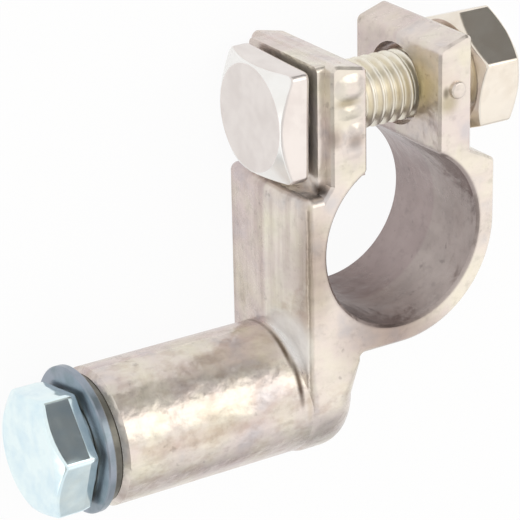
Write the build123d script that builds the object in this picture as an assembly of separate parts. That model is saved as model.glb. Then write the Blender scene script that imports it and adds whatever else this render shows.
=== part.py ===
from build123d import *
import math
import os

# Battery terminal clamp, millimetres.
# +Z is the axis of the post bore, +X runs along the clamp bolt from its head to its nut,
# +Y points from the bore to the ears.  Origin: bore centre on the underside.

# Post ring
BORE_R = 10.0
RING_R = 12.3
HEIGHT = 16.0
MID_Z = HEIGHT / 2
EDGE_CHAMFER = 0.3         # along every upper and lower edge of the ring and ears
EAR_CORNER_R = 0.8

# Ears either side of the split
LEFT_EAR_X = (-9.3, -4.75)
RIGHT_EAR_X = (4.65, 9.0)
LEFT_EAR_TOP = (21.55, 20.6)    # outer edge, edge at the split
RIGHT_EAR_TOP = (22.0, 20.6)
BORE_CORNER_R = 0.6
SEAT_X = -10.25            # face the bolt head seats on
SEAT_Y = (6.8, 21.25)
SEAT_Z = (1.3, 14.7)
SEAT_CORNER_R = 0.8

# Shoulder outside the right ear, ledge outside the left one
SHOULDER_X = 12.3
SHOULDER_Y = (8.45, 6.8)        # against the ear, at the outer edge
SHOULDER_R = 0.8
LEDGE_Y = 7.0
LEDGE_R = 1.0

# Column from the ring down to the barrel
COLUMN_X = (-12.45, -5.6)
PARTING_RIDGE = 0.4        # rise of the column's outer face at mid height
COLUMN_EDGE_R = (0.7, 0.6)      # outer side, inner side
WEB_R = 0.8                # inside corner between the column and the ring
BLEND_Y = -13.2            # below this the column rounds off into the elbow
ELBOW_EDGE_R = (1.4, 3.2)

# Cable barrel
BARREL_Y = -17.35
BARREL_R = 7.75
BARREL_END_X = -35.45
BARREL_CHAMFER = 0.6
TAP_DEPTH = 20.0
DRILL_POINT = math.radians(59)

# Clamp bolt and nut, M8
THREAD_R = 4.0
THREAD_CLEARANCE = 0.05
EAR_HOLE_R = 4.7
EAR_HOLE_Z = 7.5           # a little low, so the bolt bears on the upper side
BOLT_Y = 14.7
HEX_ACROSS = 13.0
SQUARE_ACROSS = 12.4
SQUARE_HEAD_X = (-14.6, -10.85)
SQUARE_FACE_R = 5.9
SQUARE_CORNER_R = 0.25
SQUARE_TURN = 46.5
BOLT_LENGTH = 30.0
TIP_CHAMFER = 0.8
HEX_FACE_R = 6.1           # flat disc inside the chamfer of a hexagon
CORNER_ANGLE = math.radians(30)
NUT_X = (11.1, 16.8)
NUT_TURN = 10.0
COUNTERSINK = 0.5

# Cable bolt with its two washers, head to barrel: hexagon, washer face, flat washer, spring washer
HEX_HEAD_T = 4.7
WASHER_FACE_T = 0.5
WASHER_FACE_R = 5.8
CABLE_BOLT_LENGTH = 20.0
CABLE_BOLT_TURN = 19.5
FLAT_WASHER_T = 0.95
FLAT_WASHER_R = 8.15
FLAT_WASHER_HOLE_R = 4.6
FLAT_WASHER_SHIFT = (0.45, 0.3)     # off centre in Y and Z by the play in its hole
SPRING_WASHER_T = 1.4
SPRING_WASHER_R = 7.2
SPRING_WASHER_HOLE_R = 4.2
SPRING_CUT = 1.2
SPRING_CUT_LEAN = 25.0
SPRING_CUT_TURN = 200.0
WASHER_EDGE = 0.15

# Small raised pip on the right ear
PIP_AT = (7.0, 15.8)
PIP_R = 1.0
PIP_RISE = 0.45
PIP_EDGE_R = 0.3

FAR = 60.0                 # longer than the part, for cutting tools


def along_x(sketch, x0, x1):
    """Extrude a sketch drawn as (Y, Z) from x0 to x1."""
    return extrude(Plane.YZ.offset(x0) * sketch, x1 - x0)


def rod(radius, x0, x1, y, z=MID_Z):
    """Cylinder along X."""
    return along_x(Pos(y, z) * Circle(radius), x0, x1)


def panel(x, y):
    """Flat rectangle between pairs of limits."""
    return Pos(sum(x) / 2, sum(y) / 2) * Rectangle(x[1] - x[0], y[1] - y[0])


def vertices_near(shape, points, reach=0.05):
    """Vertices of a flat shape that lie at any of the points."""
    def at(vertex, point):
        return math.dist((vertex.X, vertex.Y), point) < reach

    return [vertex for vertex in shape.vertices() if any(at(vertex, point) for point in points)]


def ear_tops():
    """Corner points of both ear tops, each from the outer edge to the split."""
    left = list(zip(LEFT_EAR_X, LEFT_EAR_TOP))
    right = list(zip(RIGHT_EAR_X[::-1], RIGHT_EAR_TOP))
    return left, right


def plate_outline():
    """Ring, ears, shoulder and web as one outline."""
    outline = Circle(RING_R)
    for outer, inner in ear_tops():
        outline += make_face(Polyline((outer[0], 0), outer, inner, (inner[0], 0), close=True))
    shoulder = (RIGHT_EAR_X[1], SHOULDER_Y[0]), (SHOULDER_X, SHOULDER_Y[1])
    outline += make_face(Polyline((0, 0), (0, SHOULDER_Y[0]), *shoulder, (SHOULDER_X, 0), close=True))
    web_x = COLUMN_X[1] - COLUMN_EDGE_R[1] / 4
    outline += panel((2 * COLUMN_X[1], 0), (-RING_R, 0)) + panel((2 * COLUMN_X[1], web_x), (BLEND_Y, 0))
    split = LEFT_EAR_X[1], RIGHT_EAR_X[0]
    outline -= Circle(BORE_R) + panel(split, (0, FAR))
    mouth = [(x, math.sqrt(BORE_R**2 - x**2)) for x in split]
    outline = fillet(vertices_near(outline, sum(ear_tops(), [])), EAR_CORNER_R)
    outline = fillet(vertices_near(outline, mouth), BORE_CORNER_R)
    outline = fillet(vertices_near(outline, shoulder[1:]), SHOULDER_R)
    return fillet(vertices_near(outline, [(web_x, -RING_R)]), WEB_R)


def plate():
    """The outline at full height, chamfered all round above and below."""
    outline = plate_outline()
    middle = Pos(0, 0, EDGE_CHAMFER) * extrude(outline, HEIGHT - 2 * EDGE_CHAMFER)
    upper = extrude(Pos(0, 0, HEIGHT - EDGE_CHAMFER) * outline, EDGE_CHAMFER, taper=45)
    return middle + upper + mirror(upper, Plane.XY.offset(MID_Z))


def column_section(edge_r, ridge):
    """Section of the column as (X, Z), with its own corner radii and parting ridge."""
    x0, x1 = COLUMN_X
    points = [(x0, 0), (x1, 0), (x1, HEIGHT), (x0, HEIGHT)]
    outline = make_face(Polyline(*points, *([(x0 - ridge, MID_Z)] if ridge else []), close=True))
    for x, radius in zip(COLUMN_X, edge_r):
        outline = fillet(vertices_near(outline, [(x, 0), (x, HEIGHT)]), radius)
    return outline


def column():
    """Flat column whose lower end blends into a rounded elbow."""
    def level(y, section):
        return Plane(origin=(0, y, 0), x_dir=(1, 0, 0), z_dir=(0, -1, 0)) * section

    shaft = extrude(level(LEDGE_Y, column_section(COLUMN_EDGE_R, PARTING_RIDGE)), LEDGE_Y - BLEND_Y)
    ledge = shaft.faces().sort_by(Axis.Y)[-1]
    shaft = fillet(ledge.edges().filter_by(GeomType.LINE).sort_by(Axis.X)[:2], LEDGE_R)
    elbow = column_section(ELBOW_EDGE_R, 0)
    blend = loft([level(BLEND_Y, column_section(COLUMN_EDGE_R, 0)), level(BARREL_Y, elbow)])
    half = elbow & panel((-FAR, FAR), (MID_Z, FAR))
    end = revolve(level(BARREL_Y, half), Axis((0, BARREL_Y, MID_Z), (1, 0, 0)), 360)
    return shaft + blend + end


def seat():
    """Raised pad under the head of the clamp bolt."""
    size = (SEAT_Y[1] - SEAT_Y[0], SEAT_Z[1] - SEAT_Z[0])
    outline = Pos(sum(SEAT_Y) / 2, MID_Z) * RectangleRounded(*size, SEAT_CORNER_R)
    return along_x(outline, SEAT_X, (LEFT_EAR_X[0] + LEFT_EAR_X[1]) / 2)


def tapped_hole():
    """Blind hole with a drill point, along X from the barrel's rim."""
    radius, end = THREAD_R + THREAD_CLEARANCE, BARREL_END_X + TAP_DEPTH
    profile = Polyline(
        (BARREL_END_X, 0), (BARREL_END_X, radius + COUNTERSINK), (BARREL_END_X + COUNTERSINK, radius),
        (end, radius), (end + radius / math.tan(DRILL_POINT), 0), close=True,
    )
    return Pos(0, BARREL_Y, MID_Z) * revolve(make_face(profile), Axis.X)


def clamp_body():
    """The whole casting."""
    barrel = rod(BARREL_R, BARREL_END_X, COLUMN_X[0] + 1, BARREL_Y)
    barrel = chamfer(barrel.edges().group_by(Axis.X)[0], BARREL_CHAMFER)
    pip = extrude(Pos(*PIP_AT, MID_Z) * Circle(PIP_R), MID_Z + PIP_RISE)
    pip = fillet(pip.edges().group_by(Axis.Z)[-1], PIP_EDGE_R)
    outside = column() + seat() - Cylinder((BORE_R + RING_R) / 2, FAR)
    body = plate() + outside + barrel + pip
    return body - rod(EAR_HOLE_R, SEAT_X, RIGHT_EAR_X[1], BOLT_Y, EAR_HOLE_Z) - tapped_hole()


def chamfered_prism(sides, across, face_r, x, y, turn, ends, corner_r=0.0):
    """Prism along X, chamfered on the faces listed in ends: 0 is low X, 1 is high X."""
    corner = across / 2 / math.cos(math.pi / sides)
    outline = RegularPolygon(corner, sides, rotation=turn)
    if corner_r:
        outline = fillet(outline.vertices(), corner_r)
    prism = along_x(outline, *x)
    cut = (corner - face_r) * math.tan(CORNER_ANGLE)
    low, high = (face_r if i in ends else corner for i in (0, 1))
    profile = Polyline(
        (x[0], 0), (x[0], low), (x[0] + cut, corner),
        (x[1] - cut, corner), (x[1], high), (x[1], 0), close=True,
    )
    return Pos(0, y, MID_Z) * (prism & revolve(make_face(profile), Axis.X))


def shank(x0, length, y):
    """Plain shank along X with a chamfered tip."""
    return chamfer(rod(THREAD_R, x0, x0 + length, y).edges().group_by(Axis.X)[-1], TIP_CHAMFER)


def clamp_bolt():
    size = SQUARE_ACROSS, SQUARE_FACE_R, SQUARE_HEAD_X
    head = chamfered_prism(4, *size, BOLT_Y, SQUARE_TURN, (0,), SQUARE_CORNER_R)
    return head + shank(SQUARE_HEAD_X[1], BOLT_LENGTH, BOLT_Y)


def clamp_nut():
    nut = chamfered_prism(6, HEX_ACROSS, HEX_FACE_R, NUT_X, BOLT_Y, NUT_TURN, (0, 1))
    bore_r = THREAD_R + THREAD_CLEARANCE
    nut -= rod(bore_r, *NUT_X, BOLT_Y)
    rims = nut.edges().filter_by(GeomType.CIRCLE)
    return chamfer(rims.filter_by(lambda rim: rim.radius < bore_r + COUNTERSINK), COUNTERSINK)


def washer(x1, thickness, radius, hole_r, shift=(0, 0)):
    """Flat ring on the barrel's axis ending at x1."""
    centre = BARREL_Y + shift[0], MID_Z + shift[1]
    ring = rod(radius, x1 - thickness, x1, *centre)
    ring = chamfer(ring.edges().filter_by(GeomType.CIRCLE), WASHER_EDGE)
    return ring - rod(hole_r, x1 - thickness, x1, *centre)


def spring_washer():
    """Ring with one slanting cut."""
    ring = washer(BARREL_END_X, SPRING_WASHER_T, SPRING_WASHER_R, SPRING_WASHER_HOLE_R)
    cut = Pos(0, 0, SPRING_WASHER_R / 2 + 1) * Box(3 * SPRING_WASHER_T, SPRING_CUT, SPRING_WASHER_R + 2)
    cut = Rot(SPRING_CUT_TURN, 0, 0) * Rot(0, 0, SPRING_CUT_LEAN) * cut
    return ring - Pos(BARREL_END_X - SPRING_WASHER_T / 2, BARREL_Y, MID_Z) * cut


def flat_washer():
    x1 = BARREL_END_X - SPRING_WASHER_T
    return washer(x1, FLAT_WASHER_T, FLAT_WASHER_R, FLAT_WASHER_HOLE_R, FLAT_WASHER_SHIFT)


def cable_bolt():
    seat_x = BARREL_END_X - SPRING_WASHER_T - FLAT_WASHER_T
    under_head = seat_x - WASHER_FACE_T
    head_x = (under_head - HEX_HEAD_T, under_head)
    head = chamfered_prism(6, HEX_ACROSS, HEX_FACE_R, head_x, BARREL_Y, CABLE_BOLT_TURN, (0,))
    head += rod(WASHER_FACE_R, under_head, seat_x, BARREL_Y)
    return head + shank(seat_x, CABLE_BOLT_LENGTH, BARREL_Y)


PARTS = {
    "clamp_body": clamp_body,
    "clamp_bolt": clamp_bolt,
    "clamp_nut": clamp_nut,
    "cable_bolt": cable_bolt,
    "spring_washer": spring_washer,
    "flat_washer": flat_washer,
}

os.makedirs("parts", exist_ok=True)
for node, make in PARTS.items():
    export_step(make(), f"parts/{node}.step")
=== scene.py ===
import bpy
import bmesh
import math
from mathutils import Matrix, Vector, noise

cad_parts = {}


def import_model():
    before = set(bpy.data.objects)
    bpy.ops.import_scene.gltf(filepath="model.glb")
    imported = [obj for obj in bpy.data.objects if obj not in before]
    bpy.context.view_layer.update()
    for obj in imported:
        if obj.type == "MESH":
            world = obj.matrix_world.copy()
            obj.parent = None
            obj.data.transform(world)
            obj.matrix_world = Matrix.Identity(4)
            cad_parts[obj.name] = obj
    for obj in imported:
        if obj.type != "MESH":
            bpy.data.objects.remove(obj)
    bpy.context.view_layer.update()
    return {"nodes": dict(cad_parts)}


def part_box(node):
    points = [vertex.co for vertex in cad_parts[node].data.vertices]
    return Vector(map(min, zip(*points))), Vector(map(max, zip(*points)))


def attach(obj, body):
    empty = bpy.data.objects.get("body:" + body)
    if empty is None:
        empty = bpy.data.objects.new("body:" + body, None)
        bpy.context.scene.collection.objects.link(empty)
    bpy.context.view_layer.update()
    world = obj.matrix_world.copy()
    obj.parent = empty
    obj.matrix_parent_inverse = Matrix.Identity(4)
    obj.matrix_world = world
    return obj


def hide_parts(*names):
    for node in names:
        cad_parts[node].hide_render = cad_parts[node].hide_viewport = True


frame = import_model()

MM = 0.001

# ---------------------------------------------------------------- fasteners, mm and degrees
# Heads and nut: turn is the angle of the first corner, face_r the radius of the flat inside the chamfer.
SQUARE = {"sides": 4, "across": 12.4, "turn": 46.5, "corner_r": 0.8, "face_r": 5.9}
NUT = {"sides": 6, "across": 13.0, "turn": 10.0, "corner_r": 0.5, "face_r": 6.1}
CABLE_HEX = {"sides": 6, "across": 13.0, "turn": 19.5, "corner_r": 0.7, "face_r": 6.0}
SQUARE_HEAD_T = 3.75
HEX_HEAD_T = 4.7
CHAMFER_ANGLE = 30.0
COLLAR_T = 0.5
COLLAR_R = 5.8
BACK_BEVEL = (1.0, 0.16)  # on a head with a collar: its length along x and its depth
CAP_SHARE = 0.5  # radius of the cap that closes a head's face, as a share of face_r
NUT_BORE_R = 4.05
NUT_COUNTERSINK = 0.5

# Rounding of each corner of a profile, in the order of its points.
PLAIN_HEAD_RADII = (0.6, 0.5, 0.6)
COLLAR_HEAD_RADII = (0.4, 0.45, 0.4, 0.2, 0.08, 0.12)
NECK_RADIUS = 0.2
NUT_RADII = (0.1, 0.1, 0.4, 0.45, 0.45, 0.4, 0.1, 0.1)
EDGE_SHARE = 0.45  # the most of an edge that one rounding takes

THREAD_R = 3.96
THREAD_PITCH = 1.25
THREAD_DEPTH = 0.70
THREAD_CREST = 0.12  # crest and flank are shares of half a pitch
THREAD_FLANK = 0.76
RUN_OUT_PITCHES = 1.5
ROWS_PER_PITCH = 16
NECK = 0.6  # plain shank between the head and the thread
TIP_CHAMFER = 0.8

# A bolt's second material starts this far behind its head; its third, a painted highlight, is on faces
# with this slope.
SHANK_GAP = 0.1
CHAMFER_NORMAL_X = (0.6, 0.93)

# ---------------------------------------------------------------- relief on the left ear's front, mm
# Limits of the patch, then its soft lumps, which stand for cast marks that can't be read.
# Each lump is (x, y, half width in x, half width in y, height, flat share of its top).
EAR_FRONT_Z = 16.0
RELIEF_X = (-8.95, -5.1)
RELIEF_Y = (8.6, 20.4)
RELIEF_TOP = 0.45  # keeps the relief below the highest point of the CAD model
RELIEF_RIM = 0.02
LUMP_POWER = 2.4
SWELL, SWELL_SCALE, SWELL_SEED = 0.3, 0.8, 8.0
RELIEF_LUMPS = (
    (-7.0, 18.8, 2.2, 1.7, 0.36, 0.30),
    (-7.0, 16.0, 2.0, 1.0, 0.24, 0.0),
    (-6.3, 13.9, 1.4, 1.2, 0.20, 0.0),
    (-8.3, 13.3, 1.1, 1.5, 0.17, 0.0),
    (-6.7, 11.6, 1.7, 1.2, 0.15, 0.0),
    (-7.4, 9.9, 1.6, 1.2, 0.10, 0.0),
)

# ---------------------------------------------------------------- meshes
NORMAL_WEIGHT = 80


def add_piece(name, builder, materials, body):
    """Turn a bmesh into a smooth piece that rides on a body."""
    bmesh.ops.recalc_face_normals(builder, faces=builder.faces)
    mesh = bpy.data.meshes.new(name)
    builder.to_mesh(mesh)
    builder.free()
    mesh.shade_smooth()
    for material in materials:
        mesh.materials.append(material)
    piece = bpy.data.objects.new(name, mesh)
    bpy.context.scene.collection.objects.link(piece)
    piece.modifiers.new("flat faces", "WEIGHTED_NORMAL").weight = NORMAL_WEIGHT
    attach(piece, body)
    return piece


def rounded(points, radii, steps=5):
    """Corner points with each one inside the line replaced by an arc of about its radius."""
    points = [Vector(point) for point in points]
    line = [points[0]]
    for before, corner, after, radius in zip(points, points[1:], points[2:], radii):
        back, on = before - corner, after - corner
        cut = radius / math.tan(back.angle(on) / 2)
        cut = min(cut, EDGE_SHARE * back.length, EDGE_SHARE * on.length)
        start, end = corner + back.normalized() * cut, corner + on.normalized() * cut
        for i in range(steps + 1):
            t = i / steps
            line.append((1 - t) ** 2 * start + 2 * t * (1 - t) * corner + t * t * end)
    line.append(points[-1])
    return [tuple(point) for point in line]


def polygon(sides, across, turn, corner_r, flat_steps=8, corner_steps=5):
    """Outline of a polygon with rounded corners, as (angle, radius) from +Y towards +Z."""
    apothem, half = across / 2, math.pi / sides
    reach = (apothem - corner_r) * math.tan(half)
    centre = (apothem - corner_r) / math.cos(half)
    line = []
    for side in range(sides):
        flat = math.radians(turn) + (2 * side + 1) * half
        for i in range(flat_steps + 1):
            along = reach * (2 * i / flat_steps - 1)
            line.append((flat + math.atan2(along, apothem), math.hypot(along, apothem)))
        for i in range(1, corner_steps):
            bend = half * (2 * i / corner_steps - 1)
            out, across_it = centre + corner_r * math.cos(bend), corner_r * math.sin(bend)
            line.append((flat + half + math.atan2(across_it, out), math.hypot(out, across_it)))
    return line


def outline(shape):
    """Polygon of a head or nut as (angle, radius, length of the chamfer along x)."""
    slope = math.tan(math.radians(CHAMFER_ANGLE))
    line = polygon(shape["sides"], shape["across"], shape["turn"], shape["corner_r"])
    return [(angle, radius, (radius - shape["face_r"]) * slope) for angle, radius in line]


def lathe(columns, centre, closed=False):
    """Mesh of columns (angle, [(x, radius), ...]) round an axis along X; open ends get a flat cap."""
    builder = bmesh.new()
    grid = []
    for angle, profile in columns:
        y, z = math.cos(angle), math.sin(angle)
        grid.append([
            builder.verts.new((x * MM, (centre[0] + r * y) * MM, (centre[1] + r * z) * MM))
            for x, r in profile])
    rows = len(grid[0])
    for here, there in zip(grid, grid[1:] + grid[:1]):
        for i in range(rows if closed else rows - 1):
            j = (i + 1) % rows
            builder.faces.new((here[i], here[j], there[j], there[i]))
    if not closed:
        builder.faces.new([column[0] for column in grid])
        builder.faces.new([column[-1] for column in grid])
    return builder


def clamped(value):
    return min(1.0, max(0.0, value))


def thread_radius(x, angle, x0, x1):
    """Radius of a right-hand thread with soft crests, which runs out at x0 and is chamfered at x1."""
    phase = (x / THREAD_PITCH - angle / (2 * math.pi)) % 1.0
    off_crest = min(phase, 1 - phase) * 2
    t = clamped((off_crest - THREAD_CREST) / THREAD_FLANK)
    run_out = clamped((x - x0) / (RUN_OUT_PITCHES * THREAD_PITCH))
    depth = THREAD_DEPTH * t * t * (3 - 2 * t) * run_out
    return min(THREAD_R - depth, THREAD_R - TIP_CHAMFER + (x1 - x))


def threaded_rows(angle, x0, x1):
    count = int((x1 - x0) / THREAD_PITCH * ROWS_PER_PITCH)
    places = [x0 + (x1 - x0) * i / count for i in range(1, count + 1)]
    return [(x, thread_radius(x, angle, x0, x1)) for x in places]


def bolt(shape, centre, head, tip, collar):
    """Polygon head with a chamfered front, a collar or plain underside, and a threaded shank."""
    x0, x1 = head
    under = x1 + COLLAR_T if collar else x1
    flat = shape["face_r"]
    columns = []
    for angle, p, cut in outline(shape):
        corners = [(x0, CAP_SHARE * flat), (x0, flat), (x0 + cut, p)]
        if collar:
            corners += [(x1 - BACK_BEVEL[0], p), (x1, p - BACK_BEVEL[1])]
            corners += [(x1, COLLAR_R), (under, COLLAR_R)]
        else:
            corners += [(x1, p)]
        corners += [(under, THREAD_R), (under + NECK, THREAD_R)]
        radii = (COLLAR_HEAD_RADII if collar else PLAIN_HEAD_RADII) + (NECK_RADIUS,)
        columns.append((angle, rounded(corners, radii) + threaded_rows(angle, under + NECK, tip)))
    builder = lathe(columns, centre)
    builder.normal_update()
    for face in builder.faces:
        if face.calc_center_median().x > (under + SHANK_GAP) * MM:
            face.material_index = 1
        # Chamfer faces take the third material, a painted highlight.
        elif CHAMFER_NORMAL_X[0] < abs(face.normal.x) < CHAMFER_NORMAL_X[1]:
            face.material_index = 2
    return builder


def nut(shape, centre, ends):
    """Polygon with both ends chamfered and a countersunk bore."""
    x0, x1 = ends
    middle, flat, rim = (x0 + x1) / 2, shape["face_r"], NUT_BORE_R + NUT_COUNTERSINK
    columns = []
    for angle, p, cut in outline(shape):
        corners = [
            (middle, NUT_BORE_R), (x0 + NUT_COUNTERSINK, NUT_BORE_R), (x0, rim), (x0, flat),
            (x0 + cut, p), (x1 - cut, p),
            (x1, flat), (x1, rim), (x1 - NUT_COUNTERSINK, NUT_BORE_R), (middle, NUT_BORE_R),
        ]
        columns.append((angle, rounded(corners, NUT_RADII)[:-1]))
    return lathe(columns, centre, closed=True)


def centre_of(node):
    """Y and Z of a node's axis in mm, and its X limits."""
    low, high = (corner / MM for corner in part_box(node))
    return ((low.y + high.y) / 2, (low.z + high.z) / 2), (low.x, high.x)


def relief_height(x, y):
    """Height of the ear's cast relief above its front face, mm."""
    height = 0.0
    for cx, cy, wx, wy, rise, flat in RELIEF_LUMPS:
        out = abs((x - cx) / wx) ** LUMP_POWER + abs((y - cy) / wy) ** LUMP_POWER
        slope = clamped((out ** (1 / LUMP_POWER) - flat) / (1 - flat))
        height = max(height, rise * math.cos(slope * math.pi / 2) ** 2)
    swell = noise.noise(Vector((x, y, SWELL_SEED)) * SWELL_SCALE)
    return min(RELIEF_TOP, height * (1 + SWELL * swell))


def relief(steps_x=60, steps_y=180):
    """Thin skin on the ear's front that carries its lumps; its rim lies just below the face."""
    builder = bmesh.new()
    grid = []
    for i in range(steps_x + 1):
        x = RELIEF_X[0] + (RELIEF_X[1] - RELIEF_X[0]) * i / steps_x
        row = []
        for j in range(steps_y + 1):
            y = RELIEF_Y[0] + (RELIEF_Y[1] - RELIEF_Y[0]) * j / steps_y
            z = EAR_FRONT_Z - RELIEF_RIM + relief_height(x, y)
            row.append(builder.verts.new((x * MM, y * MM, z * MM)))
        grid.append(row)
    for a, b in zip(grid, grid[1:]):
        for j in range(steps_y):
            builder.faces.new((a[j], b[j], b[j + 1], a[j + 1]))
    return builder


# ---------------------------------------------------------------- material nodes
def srgb(r, g, b):
    """Linear colour from 0-255 screen values."""
    def one(c):
        c /= 255
        return c / 12.92 if c <= 0.04045 else ((c + 0.055) / 1.055) ** 2.4
    return (one(r), one(g), one(b), 1.0)


def grey(value):
    return (value, value, value, 1.0)


def new_material(name):
    material = bpy.data.materials.new(name)
    material.use_nodes = True
    tree = material.node_tree
    return material, tree, tree.nodes["Principled BSDF"]


def object_noise(tree, scale, detail=4.0, roughness=0.55, stretch=(1, 1, 1)):
    """Noise in the part's own space, in features per metre; a stretch below 1 draws it out."""
    coords = tree.nodes.new("ShaderNodeTexCoord")
    mapping = tree.nodes.new("ShaderNodeMapping")
    mapping.inputs["Scale"].default_value = stretch
    node = tree.nodes.new("ShaderNodeTexNoise")
    node.inputs["Scale"].default_value = scale
    node.inputs["Detail"].default_value = detail
    node.inputs["Roughness"].default_value = roughness
    tree.links.new(coords.outputs["Object"], mapping.inputs["Vector"])
    tree.links.new(mapping.outputs["Vector"], node.inputs["Vector"])
    return node.outputs["Fac"]


def ramp(tree, source, stops):
    node = tree.nodes.new("ShaderNodeValToRGB")
    elements = node.color_ramp.elements
    while len(elements) < len(stops):
        elements.new(0.5)
    for element, (position, colour) in zip(elements, stops):
        element.position = position
        element.color = colour
    tree.links.new(source, node.inputs["Fac"])
    return node.outputs["Color"]


def noise_tones(tree, layer):
    """Colours over a noise; the layer is (values of the noise, stops of the ramp)."""
    values, stops = layer
    return ramp(tree, object_noise(tree, *values), stops)


def mix(tree, factor, a, b, blend="MIX"):
    """Mix two colours; the factor is a number or a socket."""
    node = tree.nodes.new("ShaderNodeMix")
    node.data_type = "RGBA"
    node.blend_type = blend
    if isinstance(factor, (int, float)):
        node.inputs["Factor"].default_value = factor
    else:
        tree.links.new(factor, node.inputs["Factor"])
    for socket, value in (("A", a), ("B", b)):
        if isinstance(value, tuple):
            node.inputs[socket].default_value = value
        else:
            tree.links.new(value, node.inputs[socket])
    return node.outputs["Result"]


def tinted(tree, colour, tone, strength, mask=None):
    """Colour multiplied by a tone, everywhere or where a mask is 1."""
    result = mix(tree, strength, colour, tone, "MULTIPLY")
    return result if mask is None else mix(tree, mask, colour, result)


def bump(tree, shader, height, distance, strength=1.0, below=None):
    node = tree.nodes.new("ShaderNodeBump")
    node.inputs["Strength"].default_value = strength
    node.inputs["Distance"].default_value = distance
    tree.links.new(height, node.inputs["Height"])
    if below is not None:
        tree.links.new(below, node.inputs["Normal"])
    tree.links.new(node.outputs["Normal"], shader.inputs["Normal"])
    return node.outputs["Normal"]


def fade(tree, value, full, none):
    """1 where the value is at full, 0 where it is at none, smooth between."""
    node = tree.nodes.new("ShaderNodeMapRange")
    node.interpolation_type = "SMOOTHSTEP"
    node.inputs["From Min"].default_value = none
    node.inputs["From Max"].default_value = full
    tree.links.new(value, node.inputs["Value"])
    return node.outputs["Result"]


def around(tree, point, scale, full, none):
    """1 up to the distance full from a point, 0 beyond the distance none.

    The distances are in mm, with each axis scaled; a scale of 0 leaves the axis out.
    """
    coords = tree.nodes.new("ShaderNodeTexCoord")
    mapping = tree.nodes.new("ShaderNodeMapping")
    mapping.inputs["Scale"].default_value = [s / MM for s in scale]
    mapping.inputs["Location"].default_value = [-p * s for p, s in zip(point, scale)]
    distance = tree.nodes.new("ShaderNodeVectorMath")
    distance.operation = "LENGTH"
    tree.links.new(coords.outputs["Object"], mapping.inputs["Vector"])
    tree.links.new(mapping.outputs["Vector"], distance.inputs[0])
    return fade(tree, distance.outputs["Value"], full, none)


# Mask for painted shade: darkening where ambient occlusion finds narrow gaps.
def crevice(tree, reach, full, none):
    """1 deep in narrow gaps, 0 on open faces."""
    node = tree.nodes.new("ShaderNodeAmbientOcclusion")
    node.samples = 8
    node.inputs["Distance"].default_value = reach
    return fade(tree, node.outputs["AO"], full, none)


# ---------------------------------------------------------------- finish of the casting
# A layer is (noise, stops of the ramp); the noise is features per metre, detail, roughness, stretch.
MOTTLE = ((230, 3), (
    (0.32, srgb(240, 234, 218)), (0.44, srgb(239, 232, 221)),
    (0.56, srgb(236, 226, 219)), (0.70, srgb(220, 215, 214)),
))
ZONES = ((90, 1), ((0.35, srgb(255, 254, 249)), (0.65, srgb(244, 240, 242))))
ZONES_STRENGTH = 0.7
# Bore tones: streaks along the bore's axis, darkened as painted shade of the dim reflections inside it.
BORE_SHADE_TONES = ((120, 3, 0.6, (1, 1, 0.5)), ((0.35, srgb(170, 157, 153)), (0.65, srgb(191, 179, 174))))
GRAIN = ((900, 5, 0.65), ((0.30, grey(0.66)), (0.45, grey(0.95)), (0.70, grey(1.0))))
STREAKS = ((420, 4, 0.6, (0.22, 1, 1)), ((0.36, grey(0.84)), (0.55, grey(1.0))))
PITS = ((800, 2, 0.5), ((0.25, grey(0.5)), (0.31, grey(1.0))))
WEAR = ((GRAIN, 0.5), (STREAKS, 0.6), (PITS, 0.5))
DRAWN_LINES = ((650, 3, 0.6, (1, 0.06, 1)), ((0.34, srgb(232, 229, 228)), (0.56, grey(1.0))))
# Painted shade: a darker pinkish tint on the casting below z 7.5 mm, for the back slope of the column's
# parting ridge.
LOWER_HALF_SHADE = srgb(245, 240, 243)
BLOTCHES = ((620, 3, 0.6, (0.7, 1, 1)), ((0.36, srgb(222, 212, 205)), (0.52, grey(1.0))))
BLOTCHES_STRENGTH = 0.5
# Painted highlight: the column's foot next to the barrel is whitened and made less metallic.
FOOT_HIGHLIGHT_TONE = grey(0.97)
FOOT_HIGHLIGHT_SHARE = 0.8

# Zones of the casting, as point, axis scales, full and none distances.
BORE = ((0, 0, 0), (1, 1, 0), 10.1, 10.6)
COLUMN = ((-12.45, -1.0, 8.0), (1, 0.11, 0), 0.85, 1.0)
LOWER_HALF = ((0, 0, 0), (0, 0, 1), 7.5, 8.0)
BARREL = ((0, -17.6, 8.0), (0, 1, 1), 7.9, 8.6)
FOOT = ((-12.45, -10.2, 12.0), (2.8, 0.60, 0.40), 1.3, 2.6)

CASTING_ROUGHNESS = 0.25
CASTING_METALLIC = 0.7
FOOT_METALLIC = 0.25
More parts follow.
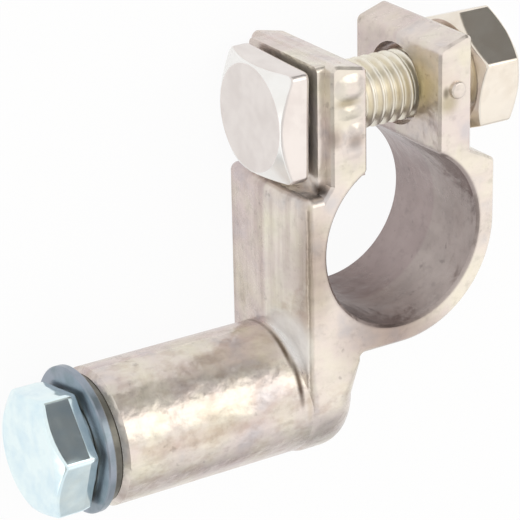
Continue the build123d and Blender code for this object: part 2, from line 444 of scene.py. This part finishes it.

# Stains and painted shade: point, axis scales, reach in mm, tint and strength.
# The same core share holds for the spots of painted shade.
STAIN_AND_SHADE_CORE = 0.15  # share of a stain's reach that has its full tint
STAINS_AND_SHADE = (
    # Right ear: yellow tarnish, an olive tint below its pip, and painted shadow on the pip's left side.
    ((4.6, 16.0, 12.0), (1, 1, 1), 5.5, srgb(247, 241, 208), 1.0),
    ((5.9, 14.4, 16.0), (1, 1, 1), 1.8, srgb(206, 202, 180), 0.8),
    ((5.5, 15.7, 16.0), (1.6, 1, 1), 1.0, srgb(150, 146, 136), 0.9),
    # Left ear: spots among the lumps, and painted shadow in the corner under the square head.
    ((-8.9, 13.6, 16.0), (1, 0.7, 1), 1.4, srgb(206, 198, 192), 0.8),
    ((-6.3, 12.7, 16.0), (0.8, 1, 1), 1.3, srgb(190, 180, 172), 0.8),
    ((-7.4, 17.2, 16.0), (0.4, 1, 1), 0.9, srgb(204, 198, 178), 0.9),
    ((-10.6, 7.6, 14.8), (0.8, 1.3, 0.8), 1.5, srgb(104, 92, 80), 1.0),
    # Painted shade on the bore's far wall, a darker tint on the ring's left side, and the column's front
    # edge.
    ((-1.5, -10.0, 8.0), (1, 1, 0.4), 10.0, srgb(184, 173, 170), 1.0),
    ((-11.4, -1.0, 16.0), (1, 0.35, 0.6), 3.4, srgb(218, 212, 206), 1.0),
    ((-12.3, 0.0, 16.0), (1.6, 0, 1.6), 1.0, srgb(234, 229, 218), 0.8),
    # Elbow, and two bands along the barrel.
    ((-10.0, -21.5, 15.0), (0.7, 1, 1), 4.0, srgb(218, 219, 220), 1.0),
    ((-25.5, -16.8, 15.75), (0.12, 1, 1), 1.5, srgb(226, 216, 212), 0.6),
    ((-27.0, -21.6, 14.3), (0.09, 1, 1), 2.4, srgb(218, 214, 218), 0.9),
    # Painted shadow in the crease between the barrel and the column's foot.
    ((-13.25, -14.2, 0.0), (1, 0.15, 0), 0.55, srgb(110, 98, 90), 1.0),
    ((-13.6, -11.0, 0.0), (1, 0.18, 0), 0.45, srgb(140, 130, 118), 1.0),
)

# Painted shade in gaps: reach in metres, and the open shares at which it is full and none.
CASTING_GAPS = (0.0009, 0.05, 0.30)
CASTING_GAP_SHADE = srgb(96, 82, 70)

# Bumps: noise, then distance in metres and strength.
FINE_BUMP = ((2200, 3), (0.00004, 0.6))
CAST_BUMP = ((240, 2.5), (0.00070, 0.55))


def casting_material():
    """Tinned brass as cast: warm grey, mottled pink and yellow, with fine grain and pits; painted shade
    in its gaps, bore, creases and lower half, and a painted highlight at the column's foot.
    """
    material, tree, shader = new_material("tinned_casting")
    colour = noise_tones(tree, MOTTLE)
    colour = tinted(tree, colour, noise_tones(tree, ZONES), ZONES_STRENGTH)
    colour = mix(tree, around(tree, *BORE), colour, noise_tones(tree, BORE_SHADE_TONES))
    for layer, strength in WEAR:
        colour = tinted(tree, colour, noise_tones(tree, layer), strength)
    colour = tinted(tree, colour, noise_tones(tree, DRAWN_LINES), 1.0, around(tree, *COLUMN))
    colour = tinted(tree, colour, LOWER_HALF_SHADE, 1.0, around(tree, *LOWER_HALF))
    blotches = noise_tones(tree, BLOTCHES)
    colour = tinted(tree, colour, blotches, BLOTCHES_STRENGTH, around(tree, *BARREL))
    # Painted highlight at the column's foot.
    foot = around(tree, *FOOT)
    colour = mix(tree, foot, colour, mix(tree, FOOT_HIGHLIGHT_SHARE, colour, FOOT_HIGHLIGHT_TONE))
    for point, scale, reach, tone, strength in STAINS_AND_SHADE:
        spot = around(tree, point, scale, STAIN_AND_SHADE_CORE * reach, reach)
        colour = tinted(tree, colour, tone, strength, spot)
    # Painted shade in narrow gaps.
    colour = mix(tree, crevice(tree, *CASTING_GAPS), colour, CASTING_GAP_SHADE)
    tree.links.new(colour, shader.inputs["Base Color"])
    metallic = ramp(tree, foot, [(0.0, grey(CASTING_METALLIC)), (1.0, grey(FOOT_METALLIC))])
    tree.links.new(metallic, shader.inputs["Metallic"])
    shader.inputs["Roughness"].default_value = CASTING_ROUGHNESS
    fine = bump(tree, shader, object_noise(tree, *FINE_BUMP[0]), *FINE_BUMP[1])
    bump(tree, shader, object_noise(tree, *CAST_BUMP[0]), *CAST_BUMP[1], fine)
    return material


# ---------------------------------------------------------------- finish of the fasteners
PLATING_NOISE = (380, 4)
PLATING_STOPS = (0.35, 0.60)
PLATING_BUMP = (420, 0.8)
# Painted shade in the fasteners' gaps and thread roots: reach in metres, open shares at which it is full
# and none.
PLATING_GAPS = (0.0014, 0.08, 0.42)
PLATING_GAP_SHADE = srgb(100, 86, 70)


def plated_material(name, colour, dark, roughness, metallic=0.88, gap_shade=0.9, relief=0.00002):
    """Zinc plating with a faint mottling and painted shade in its gaps; relief is in metres."""
    material, tree, shader = new_material(name)
    tone = noise_tones(tree, (PLATING_NOISE, tuple(zip(PLATING_STOPS, (dark, colour)))))
    gap = mix(tree, gap_shade, tone, PLATING_GAP_SHADE)
    tone = mix(tree, crevice(tree, *PLATING_GAPS), tone, gap)
    tree.links.new(tone, shader.inputs["Base Color"])
    shader.inputs["Metallic"].default_value = metallic
    shader.inputs["Roughness"].default_value = roughness
    bump(tree, shader, object_noise(tree, *PLATING_BUMP), relief)
    return material


CASTING = casting_material()
BRIGHT = plated_material("bright_zinc", srgb(234, 227, 223), srgb(226, 218, 214), 0.24)
# Painted highlight: a whiter, less metallic copy of the zinc for the clamp bolt's chamfer.
CHAMFER_HIGHLIGHT = plated_material(
    "chamfer_highlight_zinc", srgb(250, 249, 247), srgb(246, 244, 241), 0.25, metallic=0.6)
THREAD = plated_material(
    "thread_zinc", srgb(248, 243, 230), srgb(238, 230, 211), 0.28, metallic=0.8, gap_shade=0.6)
NUT_ZINC = plated_material("nut_zinc", srgb(244, 236, 224), srgb(236, 226, 212), 0.16)
BLUE = plated_material(
    "blue_zinc", srgb(238, 253, 255), srgb(222, 242, 250), 0.14, gap_shade=0.35, relief=0.00009)
WASHER = plated_material("washer_zinc", srgb(156, 164, 176), srgb(132, 146, 154), 0.30)
# Painted shade: the spring washer, in the shadow between the flat washer and the barrel, is given a dark
# zinc tone.
SPRING_SHADE = plated_material("spring_zinc_shaded", srgb(128, 126, 118), srgb(100, 98, 92), 0.34)

# ---------------------------------------------------------------- pieces
for node, material in (("clamp_body", CASTING), ("spring_washer", SPRING_SHADE), ("flat_washer", WASHER)):
    part = frame["nodes"][node]
    part.data.materials.clear()
    part.data.materials.append(material)

axis, (low_x, high_x) = centre_of("clamp_bolt")
square_bolt = bolt(SQUARE, axis, (low_x, low_x + SQUARE_HEAD_T), high_x, collar=False)
piece = add_piece(
    "clamp_bolt_threaded", square_bolt, (BRIGHT, THREAD, CHAMFER_HIGHLIGHT), "clamp_bolt")
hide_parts("clamp_bolt")

axis, ends = centre_of("clamp_nut")
piece = add_piece("clamp_nut_edged", nut(NUT, axis, ends), (NUT_ZINC,), "clamp_nut")
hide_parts("clamp_nut")

axis, (low_x, high_x) = centre_of("cable_bolt")
hex_bolt = bolt(CABLE_HEX, axis, (low_x, low_x + HEX_HEAD_T), high_x, collar=True)
piece = add_piece("cable_bolt_threaded", hex_bolt, (BLUE, BLUE, BLUE), "cable_bolt")
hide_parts("cable_bolt")

add_piece("ear_relief", relief(), (CASTING,), "casting")

# ---------------------------------------------------------------- stage, light and camera
FLOOR_HALF_SIZE = 1.5
FLOOR_Z = -0.0001
FLOOR_TONE = (0.90, 0.895, 0.885, 1)
FLOOR_ROUGHNESS = 0.9
# The share of plain white that each kind of ray sees in the floor; other rays see the floor alone.
WHITE_SHARE = {"Is Camera Ray": 0.94, "Is Glossy Ray": 0.90, "Is Transmission Ray": 0.90}

WORLD_TONE = (0.93, 0.925, 0.92, 1.0)
# Soft boxes and shaded gaps of the studio: direction, inner and outer angle in degrees, tone.
STUDIO = (
    ((0.46, 0.42, 0.78), 16, 27, (1.32, 1.29, 1.23, 1.0)),
    ((0.52, -0.35, 0.79), 10, 22, (1.20, 1.17, 1.14, 1.0)),
    ((-0.92, -0.37, 0.14), 16, 30, (1.48, 1.47, 1.45, 1.0)),
    ((-0.75, -0.38, 0.56), 12, 26, (0.45, 0.43, 0.41, 1.0)),
    ((0.46, -0.88, 0.02), 12, 30, (0.62, 0.61, 0.60, 1.0)),
    ((0.38, 0.90, 0.21), 5, 11, (0.50, 0.48, 0.44, 1.0)),
    ((0.397, 0.715, 0.570), 4.5, 9, (0.03, 0.03, 0.04, 1.0)),
)
# One dark card: its middle, the direction of its height, sines of its half sizes, soft edge.
DARK_CARD = ((0.52, 0.79, 0.205), (0.0, -0.34, 0.82), 0.150, 0.42, 0.06)
DARK_CARD_TONE = grey(0.10)
CARD_SIDE = (60, 85)

# Direction, distance and size in metres, energy in watts, colour.
KEY_LIGHT = ((0.46, 0.34, 0.82), 0.5, 0.22, 0.12, (1.0, 0.97, 0.93))

# Camera: aim, distance and lens in mm, angles in degrees, near limit in metres.
TARGET = (-7.679, -6.656, -1.5)
AZIMUTH = -128.531
ELEVATION = 51.555
ROLL = 120.765
DISTANCE = 283.86
LENS = 172.162
CLIP_START = 0.01


def floor():
    """Pale floor that keeps the part's shadow."""
    mesh = bpy.data.meshes.new("floor")
    builder = bmesh.new()
    bmesh.ops.create_grid(builder, x_segments=1, y_segments=1, size=FLOOR_HALF_SIZE)
    builder.to_mesh(mesh)
    builder.free()
    piece = bpy.data.objects.new("floor", mesh)
    piece.location.z = FLOOR_Z
    bpy.context.scene.collection.objects.link(piece)
    material, tree, shader = new_material("floor")
    shader.inputs["Base Color"].default_value = FLOOR_TONE
    shader.inputs["Roughness"].default_value = FLOOR_ROUGHNESS
    shader.inputs["Specular IOR Level"].default_value = 0.0
    white = tree.nodes.new("ShaderNodeEmission")
    rays = tree.nodes.new("ShaderNodeLightPath")
    share = None
    for kind, amount in WHITE_SHARE.items():
        term = tree.nodes.new("ShaderNodeMath")
        term.operation = "MULTIPLY_ADD"
        term.inputs[1].default_value = amount
        term.inputs[2].default_value = 0.0
        tree.links.new(rays.outputs[kind], term.inputs[0])
        if share:
            tree.links.new(share, term.inputs[2])
        share = term.outputs["Value"]
    blend = tree.nodes.new("ShaderNodeMixShader")
    tree.links.new(share, blend.inputs["Fac"])
    tree.links.new(shader.outputs["BSDF"], blend.inputs[1])
    tree.links.new(white.outputs["Emission"], blend.inputs[2])
    tree.links.new(blend.outputs["Shader"], tree.nodes["Material Output"].inputs["Surface"])
    mesh.materials.append(material)


def area_light(name, direction, distance, size, energy, colour):
    data = bpy.data.lights.new(name, "AREA")
    data.shape = "SQUARE"
    data.size = size
    data.energy = energy
    data.color = colour
    lamp = bpy.data.objects.new(name, data)
    bpy.context.scene.collection.objects.link(lamp)
    target = Vector(TARGET) * MM
    lamp.location = target + Vector(direction).normalized() * distance
    lamp.rotation_euler = (target - lamp.location).to_track_quat("-Z", "Y").to_euler()


def math_node(tree, operation, *values):
    node = tree.nodes.new("ShaderNodeMath")
    node.operation = operation
    for value, socket in zip(values, node.inputs):
        tree.links.new(value, socket)
    return node.outputs["Value"]


def facing(tree, direction):
    """How far the world's own direction points along a given one."""
    coords = tree.nodes.new("ShaderNodeTexCoord")
    dot = tree.nodes.new("ShaderNodeVectorMath")
    dot.operation = "DOT_PRODUCT"
    dot.inputs[1].default_value = direction
    tree.links.new(coords.outputs["Generated"], dot.inputs[0])
    return dot.outputs["Value"]


def studio_patch(tree, direction, inner, outer):
    """Factor that is 1 within the inner angle of a direction and 0 outside the outer one."""
    dot = facing(tree, Vector(direction).normalized())
    return fade(tree, dot, math.cos(math.radians(inner)), math.cos(math.radians(outer)))


def studio_card(tree, direction, tilt, half_height, half_width, soft):
    """Factor that is 1 on a card with soft edges; the tilt is the direction of its height."""
    middle = Vector(direction).normalized()
    height_axis = (Vector(tilt) - middle * middle.dot(Vector(tilt))).normalized()
    bands = []
    for card_axis, half in ((height_axis, half_height), (middle.cross(height_axis), half_width)):
        off_middle = math_node(tree, "ABSOLUTE", facing(tree, card_axis))
        bands.append(fade(tree, off_middle, half, half + soft))
    card = math_node(tree, "MULTIPLY", *bands)
    return math_node(tree, "MULTIPLY", card, studio_patch(tree, direction, *CARD_SIDE))


def world():
    """Pale studio with soft boxes, shaded gaps and one dark card."""
    space = bpy.data.worlds.new("studio")
    space.use_nodes = True
    tree = space.node_tree
    colour = mix(tree, studio_card(tree, *DARK_CARD), WORLD_TONE, DARK_CARD_TONE)
    for direction, inner, outer, tone in STUDIO:
        colour = mix(tree, studio_patch(tree, direction, inner, outer), colour, tone)
    tree.links.new(colour, tree.nodes["Background"].inputs["Color"])
    bpy.context.scene.world = space


def camera():
    azimuth, elevation = math.radians(AZIMUTH), math.radians(ELEVATION)
    level = math.cos(elevation)
    back = Vector((math.sin(azimuth) * level, -math.cos(azimuth) * level, math.sin(elevation)))
    data = bpy.data.cameras.new("camera")
    data.lens = LENS
    data.clip_start = CLIP_START
    piece = bpy.data.objects.new("camera", data)
    bpy.context.scene.collection.objects.link(piece)
    right = Vector((0, 0, 1)).cross(back).normalized()
    up = back.cross(right)
    roll = math.radians(ROLL)
    x_axis = right * math.cos(roll) + up * math.sin(roll)
    y_axis = back.cross(x_axis)
    rotation = Matrix((x_axis, y_axis, back)).transposed()
    location = (Vector(TARGET) + back * DISTANCE) * MM
    piece.matrix_world = Matrix.Translation(location) @ rotation.to_4x4()
    bpy.context.scene.camera = piece


floor()
world()
area_light("key", *KEY_LIGHT)
camera()
bpy.context.scene.view_settings.view_transform = "Standard"
